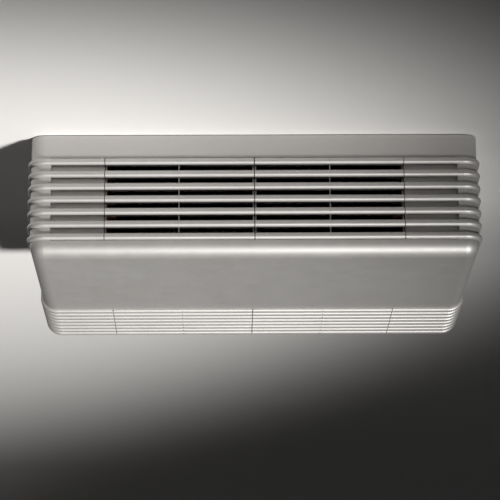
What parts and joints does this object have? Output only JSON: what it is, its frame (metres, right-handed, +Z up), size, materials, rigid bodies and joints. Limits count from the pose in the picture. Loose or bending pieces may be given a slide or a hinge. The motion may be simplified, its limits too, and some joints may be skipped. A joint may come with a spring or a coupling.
{
  "type": "fan convector heater",
  "caption": "Wall-hung hydronic fan convector: silver casing with ribs round both ends, lift-out outlet grille on top, intake grille below, finned coil and cross-flow fan inside.",
  "frame": {"origin": "on the wall plane, at the centre of the four wall-fixing holes", "axes": "+X along the wall, to the right for someone facing the heater; +Y into the wall; +Z up"},
  "size_m": [0.608, 0.172, 0.419],
  "materials": {
    "casing_silver": "satin metallic silver paint on a moulded shell",
    "zinc_steel": "galvanised sheet, faint spangle",
    "duct_black": "matt black paint",
    "fin_black": "aluminium fins with black epoxy coat",
    "copper": "drawn copper tube, slightly tarnished",
    "brass": "turned brass, nickel-free",
    "fan_alloy": "thin aluminium blades, mill finish",
    "steel": "ground steel",
    "lamination": "stacked steel laminations",
    "winding": "enamelled copper winding under tape",
    "black_plastic": "moulded, fine texture",
    "white_plastic": "moulded nylon",
    "rubber": "moulded rubber",
    "gasket_foam": "closed-cell foam strip",
    "board": "green circuit board",
    "filter_net": "woven nylon net",
    "cable_grey": "grey sheathed cable",
    "handle_red": "red moulded handle",
    "handle_blue": "blue moulded handle"
  },
  "bodies": {
    "chassis": {"chassis": "zinc_steel", "chassis_flanges": "zinc_steel", "base_tray": "zinc_steel", "cover_screws": "steel", "fan_end_left": "duct_black", "fan_end_right": "duct_black", "end_plate_screws": "steel", "fan_scroll": "duct_black", "front_baffle": "duct_black", "outlet_gasket": "gasket_foam", "filter_rails": "black_plastic", "bearing_bush": "brass", "bearing_rubber": "rubber", "motor_core": "lamination", "motor_coil": "winding", "motor_brackets": "zinc_steel", "motor_screws": "steel", "coil_fins": "fin_black", "coil_tubes": "copper", "return_bends": "copper", "coil_end_plates": "zinc_steel", "flow_pipe": "copper", "return_pipe": "copper", "flow_valve": "brass", "return_valve": "brass", "valve_tails": "brass", "valve_nuts": "brass", "air_vent": "brass", "pipe_grommets": "rubber", "pipe_thermostat": "black_plastic", "thermostat_clip": "steel", "control_box": "zinc_steel", "control_box_lid": "zinc_steel", "lid_screws": "steel", "circuit_board": "board", "board_posts": "white_plastic", "transformer": "lamination", "board_components": "black_plastic", "terminal_block": "white_plastic", "cable_gland": "black_plastic", "gland_nut": "black_plastic", "speed_switch": "black_plastic", "season_switch": "black_plastic", "motor_cable": "cable_grey", "sensor_cable": "cable_grey", "cable_clips": "white_plastic"},
    "cover": {"front_cover": "casing_silver"},
    "outlet_left": {"outlet_grille_left": "casing_silver"},
    "outlet_right": {"outlet_grille_right": "casing_silver"},
    "intake_left": {"intake_grille_left": "casing_silver"},
    "intake_right": {"intake_grille_right": "casing_silver"},
    "filter": {"filter_frame": "black_plastic", "filter_mesh": "filter_net"},
    "fan": {"impeller": "fan_alloy", "impeller_shafts": "steel", "motor_rotor": "steel", "motor_cooling_fan": "black_plastic"},
    "flow_tap": {"flow_handle": "handle_red"},
    "return_tap": {"return_handle": "handle_blue"},
    "bleed": {"vent_spindle": "brass"},
    "speed_key": {"speed_rocker": "black_plastic"},
    "season_key": {"season_rocker": "black_plastic"}
  },
  "joints": [
    {"name": "cover_off", "type": "slide", "parent": "chassis", "child": "cover", "axis": [0, -1, 0], "range_m": [0, 0.2]},
    {"name": "outlet_left_lift", "type": "slide", "parent": "cover", "child": "outlet_left", "axis": [0, 0, 1], "range_m": [0, 0.08]},
    {"name": "outlet_right_lift", "type": "slide", "parent": "cover", "child": "outlet_right", "axis": [0, 0, 1], "range_m": [0, 0.08]},
    {"name": "intake_left_pull", "type": "slide", "parent": "cover", "child": "intake_left", "axis": [0, -1, 0], "range_m": [0, 0.08]},
    {"name": "intake_right_pull", "type": "slide", "parent": "cover", "child": "intake_right", "axis": [0, -1, 0], "range_m": [0, 0.08]},
    {"name": "filter_slide", "type": "slide", "parent": "chassis", "child": "filter", "axis": [0, 0, -1], "range_m": [0, 0.13]},
    {"name": "fan_spin", "type": "hinge", "parent": "chassis", "child": "fan", "pos_m": [0, -0.072, -0.078], "axis": [1, 0, 0], "continuous": true},
    {"name": "flow_tap_turn", "type": "hinge", "parent": "chassis", "child": "flow_tap", "pos_m": [0.245, -0.14, -0.138], "axis": [0, -1, 0], "range_deg": [0, 90]},
    {"name": "return_tap_turn", "type": "hinge", "parent": "chassis", "child": "return_tap", "pos_m": [0.27, -0.056, -0.138], "axis": [0, -1, 0], "range_deg": [0, 90]},
    {"name": "bleed_turn", "type": "hinge", "parent": "chassis", "child": "bleed", "pos_m": [0.236, -0.033, 0.12], "axis": [0, 0, 1], "range_deg": [0, 360]},
    {"name": "speed_press", "type": "hinge", "parent": "chassis", "child": "speed_key", "pos_m": [-0.262, -0.105, -0.1995], "axis": [1, 0, 0], "range_deg": [-10, 10]},
    {"name": "season_press", "type": "hinge", "parent": "chassis", "child": "season_key", "pos_m": [-0.232, -0.105, -0.1995], "axis": [1, 0, 0], "range_deg": [-10, 10]}
  ]
}
